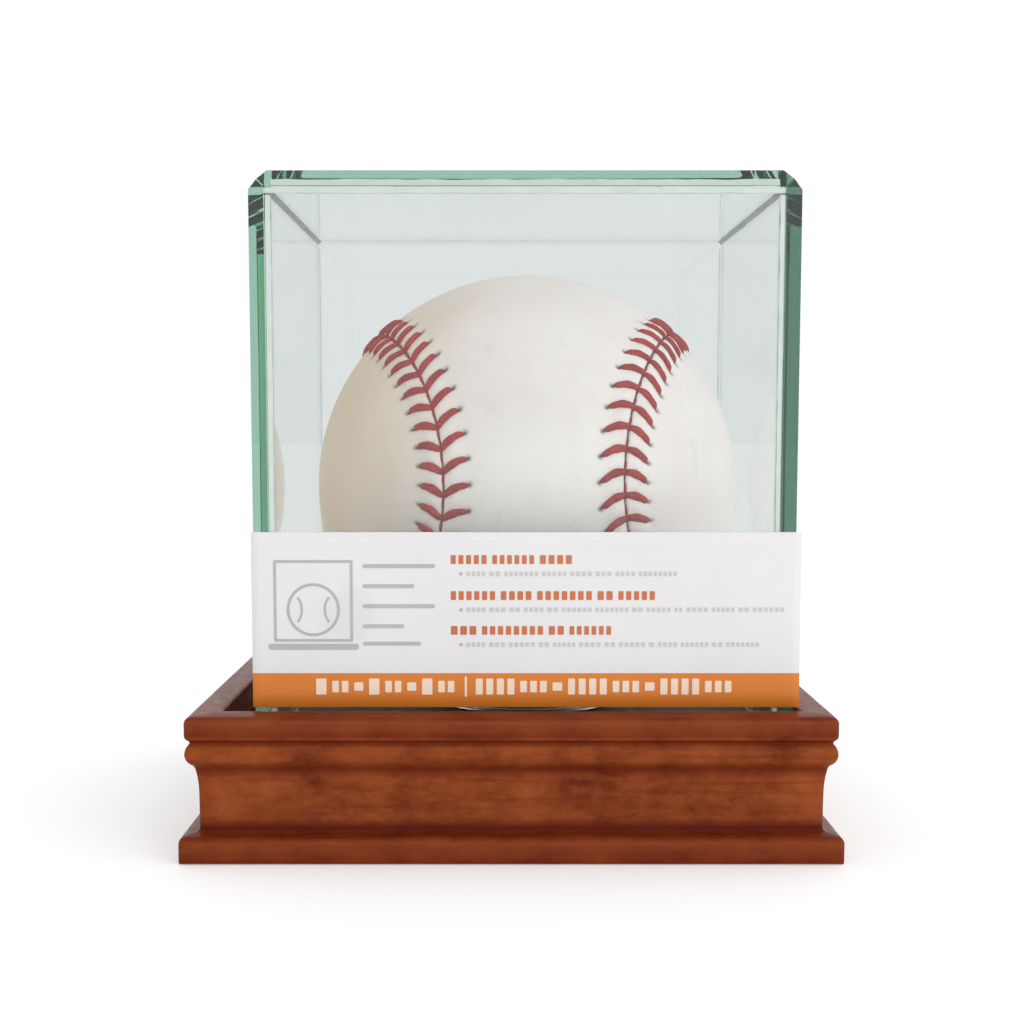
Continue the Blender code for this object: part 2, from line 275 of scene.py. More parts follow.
def wood_look():
    """Fine-grained wood under a blotchy cherry stain and a satin lacquer, with gathered stain and
    painted shade in its grooves.

    The attribute grain holds each moulding's own coordinates, X along its length; another
    attribute
    is high where the colour is darkened: gathered stain and painted shade in the hollows, painted
    shade in the recess, and about half as much on the rim and plinth faces; worn is 1 on the
    arrises.
    """
    look = Look("stained_wood", 0.34, Specular_IOR_Level=0.07)
    grain = look.attribute("grain", "Vector")
    blotch = look.noise(95, 5, 0.62, grain)
    fine = look.noise(620, 5, 0.7, look.stretched((0.45, 1, 1), grain))
    fibre = look.noise(900, 3, 0.6, look.stretched((0.06, 1, 1), grain), 0.4)
    colour = look.ramp(
        blotch,
        (0.33, (0.100, 0.0145, 0.0027)),
        (0.50, (0.180, 0.033, 0.0064)),
        (0.68, (0.280, 0.063, 0.0140)),
    )
    colour = look.mix(look.range(fine, 0.35, 0.7, 0.0, 0.55), colour, (0.33, 0.080, 0.022))
    colour = look.mix(look.range(fibre, 0.5, 0.75, 0.0, 0.5), colour, (0.110, 0.015, 0.0035))
    pores = look.cells(1500, look.stretched((0.10, 1, 1), grain))
    colour = look.mix(look.range(pores, 0.06, 0.0, 0.0, 0.7), colour, (0.070, 0.010, 0.003))
    # painted shade together with gathered stain: darkest in the hollows and the recess
    colour = look.mix(look.attribute("stain_and_shade"), colour, (0.085, 0.0034, 0.0004))
    colour = look.mix(look.attribute("worn"), colour, (0.33, 0.085, 0.026))
    look.paint(colour)
    look.set("Roughness", look.range(fine, 0.3, 0.75, 0.26, 0.46))
    look.bump(look.noise(260, 3, 0.5, grain), 0.10, 0.35)
    look.bump(fine, 0.05, 0.5)
    look.bump(fibre, 0.03, 0.6)
    return look.material


def glass_look():
    """Clear polished float glass, greenish in its depth and ground matt along its foot; the front
    right bevel is painted dark green as shade.
    """
    look = Look("float_glass", 0.0, IOR=1.52, Transmission_Weight=1.0)
    reach = look.measure("DOT_PRODUCT", look.place, (1.0, -1.0, 0.0))
    bevel = GLASS_HIGH.x - GLASS_LOW.y - GLASS_BEVEL
    painted_shade_bevel = look.range(reach, bevel - 0.3 * MM, bevel - 0.1 * MM)
    # painted shade: the front right bevel gets a dark green colour that stands in for its darkness
    look.paint(look.mix(painted_shade_bevel, (0.875, 0.875, 0.885), (0.035, 0.11, 0.08)))
    height = look.node("ShaderNodeSeparateXYZ", {0: look.place}).outputs["Z"]
    foot = (GLASS_LOW.z + 0.25 * MM, GLASS_LOW.z + 0.1 * MM)
    look.set("Roughness", look.range(height, *foot, 0.0, 0.55))
    path = look.node("ShaderNodeLightPath").outputs
    surface = look.shader.outputs["BSDF"]
    for ray in ("Is Diffuse Ray", "Is Shadow Ray"):
        clear = look.node("ShaderNodeBsdfTransparent", {"Color": (0.98, 0.985, 0.985, 1.0)})
        mixed = look.node("ShaderNodeMixShader", {0: path[ray], 1: surface, 2: clear.outputs[0]})
        surface = mixed.outputs[0]
    look.tree.links.new(surface, look.output.inputs["Surface"])
    inputs = {"Color": (0.30, 0.66, 0.49, 1.0), "Density": 20.5}
    depth = look.node("ShaderNodeVolumeAbsorption", inputs).outputs["Volume"]
    look.tree.links.new(depth, look.output.inputs["Volume"])
    return look.material


def glue_look():
    """The cured film in the inner edge of a joint."""
    look = Look("joint_glue", 0.5)
    film = look.noise(300, 4, 0.6)
    look.paint(look.ramp(film, (0.3, (0.54, 0.62, 0.575)), (0.7, (0.62, 0.68, 0.64))))
    look.bump(film, 0.02, 0.4)
    return look.material


def adhesive_look(name, dark, light, clearness):
    """Cured clear adhesive, clouded with fine bubbles."""
    look = Look(name, 0.32, IOR=1.47, Transmission_Weight=clearness)
    cloud = look.noise(700, 4, 0.65)
    look.paint(look.ramp(cloud, (0.3, dark), (0.7, light)))
    look.bump(cloud, 0.06, 0.6)
    look.bump(look.cells(900), 0.05, 0.4)
    return look.material


def card_look(name, light, dark, roughness):
    """Coated card or ink on it: fine fibres, faint mottling and a satin calender finish."""
    look = Look(name, roughness, Specular_IOR_Level=0.3, Coat_Weight=0.06, Coat_Roughness=0.3)
    mottle = look.noise(60, 4, 0.6)
    look.paint(look.ramp(mottle, (0.25, dark), (0.75, light)))
    fibre = look.noise(2600, 3, 0.6, look.stretched((1, 1, 0.45)))
    look.set("Roughness", look.range(fibre, 0.3, 0.7, roughness - 0.07, roughness + 0.07))
    look.bump(fibre, 0.02, 0.35)
    look.bump(look.noise(70, 2, 0.5), 0.25, 0.25)
    return look


def white_card_look(spot):
    """White coated card with a dot of glue showing faintly through it."""
    look = card_look("printed_card", (0.715, 0.705, 0.715), (0.685, 0.675, 0.685), 0.42)
    away = look.measure("DISTANCE", look.place, spot)
    edge = look.math("ADD", away, look.range(look.noise(260), 0.3, 0.7, -0.7 * MM, 0.7 * MM))
    glue = look.range(edge, 3.0 * MM, 5.4 * MM, 0.42, 0.0)
    plain = look.shader.inputs["Base Color"].links[0].from_socket
    look.paint(look.mix(glue, plain, (0.58, 0.61, 0.58)))
    return look.material


def leather_look():
    """Smooth alum-tanned leather: fine pores, faint rub marks and a tan patina on one side that is
    partly painted shade.

    The attribute hole is 1 where the needle went through, painted near black there as shade, and
    another is 1 where thread draws it in, painted shade along the seam and beside the arms.
    """
    look = Look("ball_leather", 0.46, Coat_Weight=0.10, Coat_Roughness=0.35)
    for socket, value in (("Weight", 0.06), ("Radius", (0.0012, 0.0007, 0.0004)), ("Scale", 1.0)):
        look.set(f"Subsurface {socket}", value)
    mottle = look.noise(70, 5, 0.6)
    colour = look.ramp(mottle, (0.30, (0.85, 0.755, 0.735)), (0.70, (0.93, 0.845, 0.825)))
    rubs = look.noise(240, 4, 0.7, look.stretched((1, 1, 0.35)))
    colour = look.mix(look.range(rubs, 0.58, 0.78, 0.0, 0.35), colour, (0.60, 0.53, 0.48))
    # tan on the ball's left side: partly patina, partly painted shade on the side turned from the
    # light
    colour = look.mix(look.attribute("patina_and_shade"), colour, (0.72, 0.52, 0.335))
    # painted shade in the seam's crease and beside the stitch arms
    colour = look.mix(look.attribute("painted_seam_shade"), colour, (0.60, 0.49, 0.42))
    # painted shade: near black inside the needle holes
    colour = look.mix(look.attribute("hole"), colour, (0.035, 0.032, 0.026))
    look.paint(colour)
    look.set("Roughness", look.range(mottle, 0.3, 0.7, 0.38, 0.54))
    pebble = look.cells(1350, None, "SMOOTH_F1")
    look.bump(look.noise(160, 4, 0.6), 0.12, 0.4)
    look.bump(pebble, 0.05, 0.55)
    look.bump(look.noise(3400, 2, 0.5), 0.015, 0.4)
    return look.material


def thread_look():
    """Waxed red cotton; the attribute ply runs along and round each length of thread."""
    look = Look("red_thread", 0.6, Specular_IOR_Level=0.2)
    worn = look.noise(330, 4, 0.65)
    colour = look.ramp(worn, (0.32, (0.31, 0.014, 0.012)), (0.66, (0.52, 0.034, 0.029)))
    inputs = {"Vector": look.attribute("ply", "Vector"), "Scale": 1.0, "Distortion": 0.6}
    fibre = look.node("ShaderNodeTexWave", inputs).outputs["Fac"]
    colour = look.mix(look.range(fibre, 0.0, 0.5, 0.5, 0.0), colour, (0.14, 0.006, 0.007))
    # darker where the thread sinks into the leather, as painted shade, and by a random tone per
    # stitch
    colour = look.mix(look.attribute("end_shade_and_tone"), colour, (0.075, 0.028, 0.022))
    look.paint(colour)
    look.bump(fibre, 0.06, 0.7)
    look.bump(look.noise(5200, 2, 0.6), 0.02, 0.5)
    return look.material


def felt_look():
    look = Look("black_felt", 0.95, Sheen_Weight=0.15, Sheen_Roughness=0.5)
    matted = look.noise(1900, 5, 0.75, None, 1.5)
    tufts = look.noise(240, 3, 0.6)
    colour = look.ramp(matted, (0.30, (0.010, 0.009, 0.010)), (0.75, (0.060, 0.052, 0.055)))
    tufted = look.range(tufts, 0.4, 0.8, 0.0, 0.4)
    look.paint(look.mix(tufted, colour, (0.05, 0.045, 0.047)))
    look.bump(matted, 0.20, 0.8)
    look.bump(tufts, 0.25, 0.4)
    return look.material


def board_look():
    """Raw fibreboard: pressed fibres and darker flecks."""
    look = Look("fibreboard", 0.82)
    fibres = look.noise(900, 5, 0.7, look.stretched((1, 0.35, 1)), 1.0)
    colour = look.ramp(fibres, (0.3, (0.22, 0.135, 0.075)), (0.7, (0.42, 0.30, 0.19)))
    flecks = look.range(look.cells(420), 0.10, 0.0, 0.0, 0.6)
    look.paint(look.mix(flecks, colour, (0.13, 0.07, 0.035)))
    look.bump(fibres, 0.10, 0.6)
    return look.material


def steel_look():
    look = Look("nail_steel", 0.38, Metallic=1.0)
    brushed = look.noise(1500, 3, 0.6, look.stretched((1, 1, 0.1)))
    look.paint(look.ramp(brushed, (0.3, (0.36, 0.36, 0.38)), (0.7, (0.62, 0.62, 0.64))))
    look.set("Roughness", look.range(brushed, 0.3, 0.7, 0.28, 0.5))
    look.bump(brushed, 0.02, 0.5)
    return look.material


def yarn_look():
    """The wound core: strands of grey wool laid over each other at changing angles."""
    look = Look("wound_yarn", 0.9, Sheen_Weight=0.3)
    inputs = {"Vector": look.place, "Scale": 220.0, "Distortion": 9.0}
    strands = look.node("ShaderNodeTexWave", inputs).outputs["Fac"]
    look.paint(look.ramp(strands, (0.2, (0.30, 0.28, 0.24)), (0.8, (0.62, 0.59, 0.53))))
    look.bump(strands, 0.3, 0.8)
    return look.material


def plastic_look():
    """Clear moulded styrene with faint flow marks."""
    look = Look("clear_plastic", 0.08, IOR=1.49, Transmission_Weight=0.92)
    flow = look.noise(120, 3, 0.5, look.stretched((1, 1, 0.3)), 1.0)
    look.paint(look.ramp(flow, (0.3, (0.86, 0.89, 0.89)), (0.7, (0.95, 0.97, 0.97))))
    look.set("Roughness", look.range(flow, 0.3, 0.7, 0.05, 0.14))
    look.bump(flow, 0.08, 0.4)
    return look.material


# ---- base

PLINTH_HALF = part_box("front_moulding")[1].x
BASE_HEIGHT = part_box("front_moulding")[1].z
RABBET_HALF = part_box("bottom_panel")[1].x + 0.3 * MM
RABBET_HEIGHT = 3.2 * MM
RECESS_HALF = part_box("base_board")[1].x + 0.3 * MM
BOARD_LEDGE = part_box("base_board")[0].z - 0.3 * MM
INNER_HALF = 38.0 * MM
NECK_HALF = PLINTH_HALF - 2.9 * MM
RIM_HALF = PLINTH_HALF - 1.0 * MM
PLINTH_HEIGHT = 4.2 * MM
NECK_TOP = 14.4 * MM
QUIRK_HEIGHT = 18.55 * MM
MITRE_GAP = 0.04 * MM
MITRE_ROUND = 0.7 * MM
STATIONS = 90


def moulding_profile():
    """The section as (distance from the centre, height), anticlockwise from the rabbet."""
    arris, shoulder, cove, foot, bead = 1.1 * MM, 1.2 * MM, 0.8 * MM, 0.4 * MM, 2.1 * MM
    points = [(RABBET_HALF, 0.0)]
    points += arc((PLINTH_HALF - foot, foot), foot, 270, 360, 4)
    points += arc((PLINTH_HALF - shoulder, PLINTH_HEIGHT - shoulder), shoulder, 0, 80, 8)
    points += arc((NECK_HALF + cove, PLINTH_HEIGHT + 0.2 * MM + cove), cove, 270, 180, 8)
    neck = ((0.01, 6.5), (0.0, 8.0), (0.01, 9.7), (0.05, 11.5), (0.21, 12.9), (0.50, 14.3))
    points += [(NECK_HALF + out * MM, z * MM) for out, z in neck]
    points += arc((RIM_HALF - bead, QUIRK_HEIGHT - 1.9 * MM), bead, -62, 48, 14)
    points.append((RIM_HALF - 0.68 * MM, QUIRK_HEIGHT))
    points += arc((RIM_HALF - MM, QUIRK_HEIGHT + MM), MM, -50, 0, 5)
    points += arc((RIM_HALF - arris, BASE_HEIGHT - 0.25 * MM - arris), arris, 0, 85, 8)
    points.append((RIM_HALF - 2.4 * MM, BASE_HEIGHT - 0.10 * MM))
    points.append((RECESS_HALF + 1.4 * MM, BASE_HEIGHT))
    points += arc((RECESS_HALF + 0.5 * MM, BASE_HEIGHT - 0.5 * MM), 0.5 * MM, 90, 180, 5)
    points += [(RECESS_HALF, BOARD_LEDGE), (INNER_HALF, BOARD_LEDGE)]
    points += [(INNER_HALF, RABBET_HEIGHT), (RABBET_HALF, RABBET_HEIGHT)]
    return points


def stain_and_shade_at(u, z):
    """How much a point of the section is darkened: gathered stain and painted shade in its
    hollows, painted shade in the recess, and about half as much on the rim and plinth faces.
    """
    # painted shade down the walls of the recess, and a little on the faces below it
    if u < RECESS_HALF + 0.3 * MM:
        return 0.75 if z > BOARD_LEDGE else 0.2
    quirk = hump(z - QUIRK_HEIGHT, 0.42 * MM)
    step = hump(z - NECK_TOP, 0.45 * MM) * smoothstep(49.6 * MM, 48.6 * MM, u)
    cove = hump(z - 5.0 * MM, 0.85 * MM) * smoothstep(50.4 * MM, 49.2 * MM, u)
    # the rim face and the plinth face are darkened too, by about half
    faces = 0.52 * max(smoothstep(18.9 * MM, 19.6 * MM, z), smoothstep(4.6 * MM, 4.1 * MM, z))
    return max(0.80 * quirk, 0.75 * step, 0.9 * cove, faces)


def worn_at(u, z):
    """How far handling has thinned the stain, most on the arrises."""
    recess_arris = (RECESS_HALF + 0.1 * MM, BASE_HEIGHT)
    arrises = ((RIM_HALF, 21.6 * MM), (PLINTH_HALF, 3.2 * MM), recess_arris)
    return 0.30 * hump(min(math.dist((u, z), arris) for arris in arrises), 0.5 * MM)


def make_mouldings(wood):
    profile = moulding_profile()
    for index, (side, turn) in enumerate(SIDES):
        bm = bmesh.new()
        grain = bm.verts.layers.float_vector.new("grain")
        stain_and_shade = bm.verts.layers.float.new("stain_and_shade")
        worn = bm.verts.layers.float.new("worn")
        spin = Matrix.Rotation(math.radians(turn), 4, "Z")
        # stations along the length, with how far each has turned round the mitre's arris
        steps = [(-1, 45), (-1, 30), (-1, 15)]
        steps += [(2 * i / STATIONS - 1, 0) for i in range(STATIONS + 1)]
        steps += [(1, 15), (1, 30), (1, 45)]
        rings = []
        for along, angle in steps:
            ring = []
            for u, z in profile:
                soft = MITRE_ROUND if u > RECESS_HALF + 0.8 * MM and z > 0.2 * MM else 0.0
                x = along * (u - soft + soft * math.sin(math.radians(angle)))
                y = u - soft + soft * math.cos(math.radians(angle))
                # the ends stand back from the mitre by half the joint
                if abs(along) == 1:
                    x -= along * MITRE_GAP / 2
                local = Vector((x, -y, z))
                world = spin @ local
                if soft and z > 1.0 * MM:
                    world -= spin @ Vector((0, wander(world, 9 * MM, 0.05 * MM), 0))
                vert = bm.verts.new(world)
                vert[grain] = local + Vector((0.37 * index, 0.11 * index, 0))
                # how far gathered stain and painted shade darken this point
                vert[stain_and_shade] = stain_and_shade_at(u, z)
                vert[worn] = worn_at(u, z)
                ring.append(vert)
            rings.append(ring)
        tube(bm, rings)
        bmesh.ops.remove_doubles(bm, verts=bm.verts, dist=0.0005 * MM)
        name, node = f"{side}_rail", f"{side}_moulding"
        cut_nail_slots(finished(name, bm, [wood], "base", [node], 38))


def cut_nail_slots(rail):
    """Opens a slot round each nail that crosses one of the rail's mitres."""
    rail_low, rail_high = rail.bound_box[0], rail.bound_box[6]
    for corner in ("front_left", "front_right", "back_right", "back_left"):
        nail = f"v_nail_{corner}"
        low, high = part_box(nail)
        if any(low[i] > rail_high[i] or high[i] < rail_low[i] for i in range(3)):
            continue
        centre = (low + high) / 2
        bm = bmesh.new()
        bm.from_mesh(frame["nodes"][nail].data)
        bmesh.ops.remove_doubles(bm, verts=bm.verts, dist=0.001 * MM)
        for vert in bm.verts:
            away = vert.co - centre
            away.x += math.copysign(0.06 * MM, away.x)
            away.y += math.copysign(0.06 * MM, away.y)
            away.z = math.copysign(4 * MM, away.z)
            vert.co = centre + away
        cutter = placed("slot", bm)
        cut = rail.modifiers.new("slot", "BOOLEAN")
        cut.operation = "DIFFERENCE"
        cut.object = cutter
        apply_modifiers(rail)
        bpy.data.objects.remove(cutter)


def make_felt(name, node, felt):
    """A square of pressed felt with a soft, slightly uneven cut edge."""
    low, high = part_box(node)
    cuts = 60
    bm = bmesh.new()
    shells = []
    for z, lift in ((low.z, 0.0), (high.z, 1.0)):
        rows = []
        for i in range(cuts + 1):
            row = []
            for j in range(cuts + 1):
                x = low.x + (high.x - low.x) * i / cuts
                y = low.y + (high.y - low.y) * j / cuts
                edge = min(i, j, cuts - i, cuts - j) == 0
                if edge:
                    x -= math.copysign(wander((x, y, 0.3), 3 * MM, 0.25 * MM), x)
                    y -= math.copysign(wander((x, y, 0.7), 3 * MM, 0.25 * MM), y)
                drop = edge * 0.10 * MM + abs(wander((x, y, 0), 6 * MM, 0.10 * MM))
                row.append(bm.verts.new((x, y, z - lift * drop)))
            rows.append(row)
        shells.append(rows)
    sheet_between(bm, *shells)
    piece = finished(name, bm, [felt], "base", [node], 50)


def make_ring(plastic):
    """The seat ring turned from a round-edged section."""
    low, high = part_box("ball_ring")
    centre = (low + high) / 2
    outer = (high.x - low.x) / 2
    vertices = frame["nodes"]["ball_ring"].data.vertices
    inner = min((v.co.xy - centre.xy).length for v in vertices)
    seat_drop = 0.55 * MM
    edge = 0.5 * MM
    section = arc((inner + edge, low.z + edge), edge, 180, 270, 4)
    section += arc((outer - edge, low.z + edge), edge, 270, 360, 4)
    section += arc((outer - edge, high.z - edge), edge, 0, 90, 5)
    section += arc((inner + 1.6 * MM, high.z - 0.15 * MM), 0.15 * MM, 90, 120, 2)
    section += arc((inner + 0.3 * MM, high.z - seat_drop - 0.3 * MM), 0.3 * MM, 110, 180, 3)
    bm = bmesh.new()
    turns = 96
    rows = []
    for i in range(turns):
        x, y = math.cos(2 * math.pi * i / turns), math.sin(2 * math.pi * i / turns)
        row = [bm.verts.new((centre.x + r * x, centre.y + r * y, z)) for r, z in section]
        rows.append(row)
    grid_faces(bm, rows, closed_rows=True, closed_columns=True)
    finished("seat_ring", bm, [plastic], "base", ["ball_ring"])


# ---- glass cover

PANES = ("front_pane", "right_pane", "back_pane", "left_pane", "top_pane")
GLASS_LOW, GLASS_HIGH = span(*PANES)
GLASS_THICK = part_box("left_pane")[1].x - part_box("left_pane")[0].x
GLASS_BEVEL = 2.9 * MM
GLASS_BOUNCES = 40
GLASS_MID = (GLASS_LOW + GLASS_HIGH) / 2
HOLLOW_LOW = GLASS_LOW + Vector((GLASS_THICK, GLASS_THICK, 0))
HOLLOW_HIGH = GLASS_HIGH - Vector((GLASS_THICK, GLASS_THICK, GLASS_THICK))


def clip(bm, point, outward):
    """Cuts a convex bmesh along a plane, drops the outward side and closes the cut."""
    geometry = bm.verts[:] + bm.edges[:] + bm.faces[:]
    cut = bmesh.ops.bisect_plane(
        bm, geom=geometry, dist=1e-7, plane_co=point, plane_no=outward, clear_outer=True
    )
    edges = [e for e in cut["geom_cut"] if isinstance(e, bmesh.types.BMEdge)]
    bmesh.ops.contextual_create(bm, geom=edges)


def make_glass(glass):
    """The five panes as one clear body, because the glue carries light as the glass does."""
    low, high = GLASS_LOW, GLASS_HIGH
    half = (high - low) / 2
    bm = bmesh.new()
    bmesh.ops.create_cube(bm, size=1.0)
    for vert in bm.verts:
        vert.co = Vector(low[i] + (high[i] - low[i]) * (vert.co[i] + 0.5) for i in range(3))
    across = (Vector((1, 0, 0)), Vector((0, 1, 0)), Vector((-1, 0, 0)), Vector((0, -1, 0)))
    for first, second in zip(across, across[1:] + across[:1]):
        reach = GLASS_MID + first * half.x + second * half.y
        clip(bm, reach - first * GLASS_BEVEL, (first + second).normalized())
        top = GLASS_MID + first * half.x + Vector((0, 0, half.z))
        clip(bm, top - first * GLASS_BEVEL, (first + Vector((0, 0, 1))).normalized())
    arrises = [e for e in bm.edges if e.calc_face_angle(0) > math.radians(20)]
    bmesh.ops.bevel(bm, geom=arrises, offset=0.13 * MM, segments=2, profile=0.5, affect="EDGES")
    # the hollow: its mouth is the bottom face, which becomes a rim of four mitred strips
    bottom = min(bm.faces, key=lambda f: f.calc_center_median().z)
    low, high = HOLLOW_LOW, HOLLOW_HIGH
    corners = ((low.x, low.y), (high.x, low.y), (high.x, high.y), (low.x, high.y))
    hollow = [
        bm.verts.new((*corner, z)) for z in (bottom.verts[0].co.z, high.z) for corner in corners
    ]
    bm.faces.new(hollow[4:])
    for i in range(4):
        j = (i + 1) % 4
        bm.faces.new((hollow[i], hollow[j], hollow[4 + j], hollow[4 + i]))
    mouth = [bm.edges.get((hollow[i], hollow[(i + 1) % 4])) for i in range(4)]
    outline = list(bottom.edges)
    bmesh.ops.delete(bm, geom=[bottom], context="FACES_ONLY")
    bmesh.ops.triangle_fill(bm, edges=outline + mouth, use_dissolve=False)
    cover = finished("glass_cover", bm, [glass], "cover", PANES)
    # smoothing would bend the normals of the large faces near their corners, and darken them
    cover.data.shade_flat()


def fillet_bead(place, corner, walls, length, leg_size, adhesive):
    """A hollow fillet of adhesive that creeps unevenly over the two faces it joins.

    The place is (top or corner, name of its side); walls point along the faces, away from it.
    """
    wall_a, wall_b = walls
    along = wall_b.cross(wall_a)
    bm = bmesh.new()
    steps, sweep = 70, 6
    rows = []
    gap = 0.02 * MM
    for i in range(steps + 1):
        reach = length * (i / steps - 0.5)
        at = corner + along * reach
        leg = leg_size * (1 + wander(at, 6 * MM, 0.22) + wander(at, 1.3 * MM, 0.10))
        leg *= smoothstep(0, 0.02, i / steps) * smoothstep(0, 0.02, 1 - i / steps) * 0.7 + 0.3
        ring = [bm.verts.new(at + (wall_a + wall_b) * gap)]
        for k in range(sweep + 1):
            angle = math.pi / 2 * k / sweep
            # a quarter circle that bows in towards the corner
            a = leg * (1 - math.sin(angle)) + gap
            b = leg * (1 - math.cos(angle)) + gap
            ring.append(bm.verts.new(at + wall_a * a + wall_b * b))
        rows.append(ring)
    tube(bm, rows)
    name, node = "{}_fillet_{}".format(*place), "{}_bead_{}".format(*place)
    finished(name, bm, [adhesive], "cover", [node], 50)


def make_glue(glue):
    """The milky films of glue round the front pane, and the one deep in the lid's joint."""
    low = GLASS_LOW + Vector((GLASS_BEVEL, 0.12 * MM, 0))
    high = GLASS_HIGH - Vector((GLASS_BEVEL, 0, GLASS_BEVEL))
    inner = GLASS_THICK - GLASS_BEVEL + 0.25 * MM
    foot = GLASS_LOW.z + 0.5 * MM
    sides_end = high.z - 1.35 * inner
    ceiling = GLASS_HIGH.z - GLASS_THICK + 0.03 * MM
    bm = bmesh.new()
    # each film: its fixed edge, how far it reaches, its start, its end, its long axis, its depth
    for edge, reach, start, end, long_axis, deep in (
        (low.x, inner, foot, sides_end, 1, 0.0),
        (high.x, -inner, foot, sides_end, 1, 0.0),
        (high.z, -inner, low.x, high.x, 0, 0.0),
        (ceiling, 1.35 * MM, low.x + 0.6 * MM, high.x - 0.6 * MM, 0, GLASS_THICK - 0.12 * MM),
    ):
        rows = []
        for i in range(61):
            along = start + (end - start) * i / 60
            ragged = 1 + wander((along, edge, 0), 2.5 * MM, 0.12)
            row = []
            for share, depth in ((0.05, 0), (ragged, 0), (ragged, 1), (0.05, 1)):
                at = [edge + reach * share] * 2
                at[long_axis] = along
                row.append(bm.verts.new((at[0], low.y + deep + 0.04 * MM * depth, at[1])))
            rows.append(row)
        tube(bm, rows)
    finished("joint_glue", bm, [glue], "cover", (), 40)


def make_beads(clear, shade_bead):
    """Fillets along the eight inner edges; only the two that run away from the front are dull, and
    their dark grey is painted shade.
    """
    mid = (HOLLOW_LOW + HOLLOW_HIGH) / 2
    half = (HOLLOW_HIGH - HOLLOW_LOW) / 2
    for side, turn in SIDES:
        out = Matrix.Rotation(math.radians(turn), 3, "Z") @ Vector((0, -1, 0))
        corner = Vector((mid.x, mid.y, HOLLOW_HIGH.z)) + out * half.x
        walls = -out, Vector((0, 0, -1))
        # the two fillets running away from the front are dark grey: painted shade along those
        # joints
        leg, mat = (0.60 * MM, shade_bead) if abs(out.x) > 0.5 else (0.06 * MM, clear)
        fillet_bead(("top", side), corner, walls, 2 * half.x - 0.1 * MM, leg, mat)
    for place, sx, sy in (
        ("front_left", -1, -1),
        ("front_right", 1, -1),
        ("back_right", 1, 1),
        ("back_left", -1, 1),
    ):
        corner = Vector((mid.x + sx * half.x, mid.y + sy * half.y, mid.z))
        walls = Vector((-sx, 0, 0)), Vector((0, -sy, 0))
        leg = (0.15 if sy > 0 else 0.12) * MM
        fillet_bead(("corner", place), corner, walls, 2 * half.z - 1.6 * MM, leg, clear)


# ---- label

LABEL_LOW, LABEL_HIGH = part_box("label_card")
STRIPE_TOP = LABEL_LOW.z + 5.35 * MM
CARD_ROUND = 0.07 * MM
INK_FRONT = 0.045 * MM
INK_BACK = 0.02 * MM


def label_face(x, z):
    """Where the card's front lies: slightly crowned between its glued edges."""
    across = (2 * (x - LABEL_LOW.x) / (LABEL_HIGH.x - LABEL_LOW.x) - 1) ** 2
    up = (2 * (z - LABEL_LOW.z) / (LABEL_HIGH.z - LABEL_LOW.z) - 1) ** 2
    crown = 0.06 * MM * (1 - across) * (1 - up)
    return LABEL_LOW.y - crown + wander((x, 0, z), 14 * MM, 0.03 * MM)


def make_label(card, stripe):
    """The card: white above, a printed stripe along its foot, and soft cut edges."""
    columns, rows_above = 60, 14
    xs = [LABEL_LOW.x + (LABEL_HIGH.x - LABEL_LOW.x) * i / columns for i in range(columns + 1)]
    xs = [xs[0], xs[0] + CARD_ROUND, *xs[1:-1], xs[-1] - CARD_ROUND, xs[-1]]
    above = LABEL_HIGH.z - STRIPE_TOP
    zs = [LABEL_LOW.z, LABEL_LOW.z + CARD_ROUND, LABEL_LOW.z + 2.6 * MM]
    zs += [STRIPE_TOP + above * i / rows_above for i in range(rows_above)]
    zs += [LABEL_HIGH.z - CARD_ROUND, LABEL_HIGH.z]
    bm = bmesh.new()
    front, back = [], []
    for z in zs:
        front_row, back_row = [], []
        for x in xs:
            face = label_face(x, z)
            edge = x in (xs[0], xs[-1]) or z in (zs[0], zs[-1])
            front_row.append(bm.verts.new((x, face + (CARD_ROUND if edge else 0.0), z)))
            back_row.append(bm.verts.new((x, face + LABEL_HIGH.y - LABEL_LOW.y, z)))
        front.append(front_row)
        back.append(back_row)
    sheet_between(bm, front, back)
    for face in bm.faces:
        face.material_index = 1 if face.calc_center_median().z < STRIPE_TOP else 0
    finished("card_label", bm, [card, stripe], "cover", ["label_card"], 50)


def printed_shape(bm, outline, ink):
    """One printed mark: a closed film of ink over an outline of (x, z) points."""
    rings = [
        [bm.verts.new((x, label_face(x, z) - lift, z)) for x, z in outline]
        for lift in (INK_FRONT, INK_BACK)
    ]
    tube(bm, rings, ink)


def bar_outline(x, z, width, height, corner=MM):
    """A bar with rounded corners, its left end at x and its middle at z."""
    radius = min(height / 2 * 0.98, width / 2 * 0.98, corner)
    left, right = x + radius, x + width - radius
    low, high = z - height / 2 + radius, z + height / 2 - radius
    outline = []
    for i, centre in enumerate(((right, high), (left, high), (left, low), (right, low))):
        outline += arc(centre, radius, 90 * i, 90 * i + 90, 3)
    return outline


def ring_marks(bm, centre, outer, width, ink, steps=48, start=0, end=360):
    """A ring or part of one, as a row of four-sided marks joined into one film."""
    whole = end - start == 360
    rows = []
    for i in range(steps if whole else steps + 1):
        angle = math.radians(start + (end - start) * i / steps)
        row = []
        for share, lift in ((0, INK_FRONT), (0, INK_BACK), (1, INK_BACK), (1, INK_FRONT)):
            radius = outer - share * width
            x = centre[0] + radius * math.cos(angle)
            z = centre[1] + radius * math.sin(angle)
            row.append(bm.verts.new((x, label_face(x, z) - lift, z)))
        rows.append(row)
    if whole:
        grid_faces(bm, rows, closed_rows=True, closed_columns=True, mat=ink)
    else:
        tube(bm, rows, ink)


